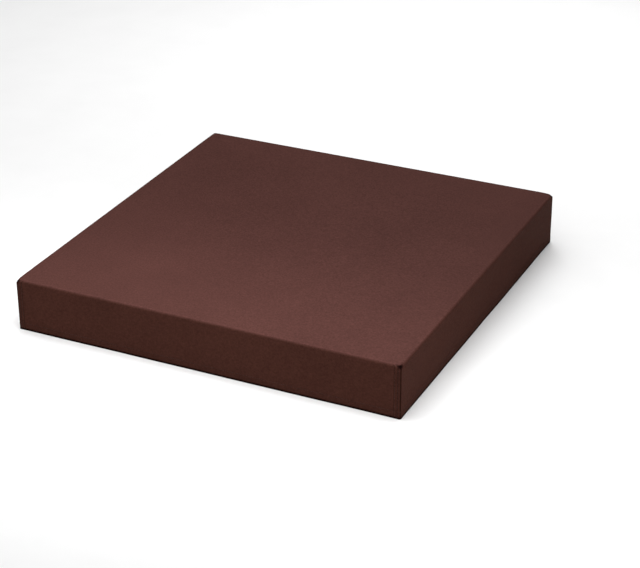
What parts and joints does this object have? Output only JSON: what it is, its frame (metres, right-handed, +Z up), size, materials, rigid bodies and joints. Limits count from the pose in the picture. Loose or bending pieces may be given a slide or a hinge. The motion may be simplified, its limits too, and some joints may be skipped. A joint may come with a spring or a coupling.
{
  "type": "spa cover",
  "caption": "Square slip-on spa cover of coated cloth, with upright sides, taped corner seams, a corded hem and tie-down straps with side-release plugs folded in underneath.",
  "frame": {"origin": "middle of the cover's lower edge, on the ground", "axes": "+Z up; -Y is the front; +X is to the right, seen from the front"},
  "size_m": [2.2, 2.2, 0.3],
  "materials": {
    "cover_cloth": "coated plain weave, matt with a soft sheen",
    "hem_tape": "coated plain weave, matt",
    "binding_tape": "woven tape, matt",
    "elastic": "braided sleeve",
    "crimp_metal": "pressed, satin",
    "webbing": "ribbed webbing, matt",
    "buckle_plastic": "fine moulded texture"
  },
  "bodies": {
    "cover": {"cover_shell": "cover_cloth", "hem_band": "hem_tape", "hem_cord": "elastic", "cord_crimp": "crimp_metal", "corner_binding_front_left": "binding_tape", "strap_tab_front_left": "webbing", "corner_binding_front_right": "binding_tape", "strap_tab_front_right": "webbing", "corner_binding_back_left": "binding_tape", "strap_tab_back_left": "webbing", "corner_binding_back_right": "binding_tape", "strap_tab_back_right": "webbing"},
    "strap_front_left": {"strap_front_left": "webbing", "plug_front_left": "buckle_plastic"},
    "latch_arm_left_front_left": {"latch_arm_left_front_left": "buckle_plastic"},
    "latch_arm_right_front_left": {"latch_arm_right_front_left": "buckle_plastic"},
    "strap_front_right": {"strap_front_right": "webbing", "plug_front_right": "buckle_plastic"},
    "latch_arm_left_front_right": {"latch_arm_left_front_right": "buckle_plastic"},
    "latch_arm_right_front_right": {"latch_arm_right_front_right": "buckle_plastic"},
    "strap_back_left": {"strap_back_left": "webbing", "plug_back_left": "buckle_plastic"},
    "latch_arm_left_back_left": {"latch_arm_left_back_left": "buckle_plastic"},
    "latch_arm_right_back_left": {"latch_arm_right_back_left": "buckle_plastic"},
    "strap_back_right": {"strap_back_right": "webbing", "plug_back_right": "buckle_plastic"},
    "latch_arm_left_back_right": {"latch_arm_left_back_right": "buckle_plastic"},
    "latch_arm_right_back_right": {"latch_arm_right_back_right": "buckle_plastic"}
  },
  "joints": [
    {"name": "strap_front_left_swing", "type": "hinge", "parent": "cover", "child": "strap_front_left", "pos_m": [-0.7, -1.08262, 0.0058], "axis": [-1, 0, 0], "range_deg": [-80, 90]},
    {"name": "latch_arm_left_front_left_squeeze", "type": "hinge", "parent": "strap_front_left", "child": "latch_arm_left_front_left", "pos_m": [-0.7155, -0.89763, 0.0058], "axis": [0, 0, -1], "range_deg": [0, 8], "stiffness_Nm_per_rad": 1.2},
    {"name": "latch_arm_right_front_left_squeeze", "type": "hinge", "parent": "strap_front_left", "child": "latch_arm_right_front_left", "pos_m": [-0.6845, -0.89763, 0.0058], "axis": [0, 0, 1], "range_deg": [0, 8], "stiffness_Nm_per_rad": 1.2},
    {"name": "strap_front_right_swing", "type": "hinge", "parent": "cover", "child": "strap_front_right", "pos_m": [0.7, -1.08262, 0.0058], "axis": [-1, 0, 0], "range_deg": [-80, 90]},
    {"name": "latch_arm_left_front_right_squeeze", "type": "hinge", "parent": "strap_front_right", "child": "latch_arm_left_front_right", "pos_m": [0.6845, -0.89763, 0.0058], "axis": [0, 0, -1], "range_deg": [0, 8], "stiffness_Nm_per_rad": 1.2},
    {"name": "latch_arm_right_front_right_squeeze", "type": "hinge", "parent": "strap_front_right", "child": "latch_arm_right_front_right", "pos_m": [0.7155, -0.89763, 0.0058], "axis": [0, 0, 1], "range_deg": [0, 8], "stiffness_Nm_per_rad": 1.2},
    {"name": "strap_back_left_swing", "type": "hinge", "parent": "cover", "child": "strap_back_left", "pos_m": [-0.7, 1.08262, 0.0058], "axis": [1, 0, 0], "range_deg": [-80, 90]},
    {"name": "latch_arm_left_back_left_squeeze", "type": "hinge", "parent": "strap_back_left", "child": "latch_arm_left_back_left", "pos_m": [-0.6845, 0.89763, 0.0058], "axis": [0, 0, -1], "range_deg": [0, 8], "stiffness_Nm_per_rad": 1.2},
    {"name": "latch_arm_right_back_left_squeeze", "type": "hinge", "parent": "strap_back_left", "child": "latch_arm_right_back_left", "pos_m": [-0.7155, 0.89763, 0.0058], "axis": [0, 0, 1], "range_deg": [0, 8], "stiffness_Nm_per_rad": 1.2},
    {"name": "strap_back_right_swing", "type": "hinge", "parent": "cover", "child": "strap_back_right", "pos_m": [0.7, 1.08262, 0.0058], "axis": [1, 0, 0], "range_deg": [-80, 90]},
    {"name": "latch_arm_left_back_right_squeeze", "type": "hinge", "parent": "strap_back_right", "child": "latch_arm_left_back_right", "pos_m": [0.7155, 0.89763, 0.0058], "axis": [0, 0, -1], "range_deg": [0, 8], "stiffness_Nm_per_rad": 1.2},
    {"name": "latch_arm_right_back_right_squeeze", "type": "hinge", "parent": "strap_back_right", "child": "latch_arm_right_back_right", "pos_m": [0.6845, 0.89763, 0.0058], "axis": [0, 0, 1], "range_deg": [0, 8], "stiffness_Nm_per_rad": 1.2}
  ],
  "couplings": [
    {"joint": "latch_arm_right_front_left_squeeze", "follows": "latch_arm_left_front_left_squeeze", "ratio": 1},
    {"joint": "latch_arm_right_front_right_squeeze", "follows": "latch_arm_left_front_right_squeeze", "ratio": 1},
    {"joint": "latch_arm_right_back_left_squeeze", "follows": "latch_arm_left_back_left_squeeze", "ratio": 1},
    {"joint": "latch_arm_right_back_right_squeeze", "follows": "latch_arm_left_back_right_squeeze", "ratio": 1}
  ]
}
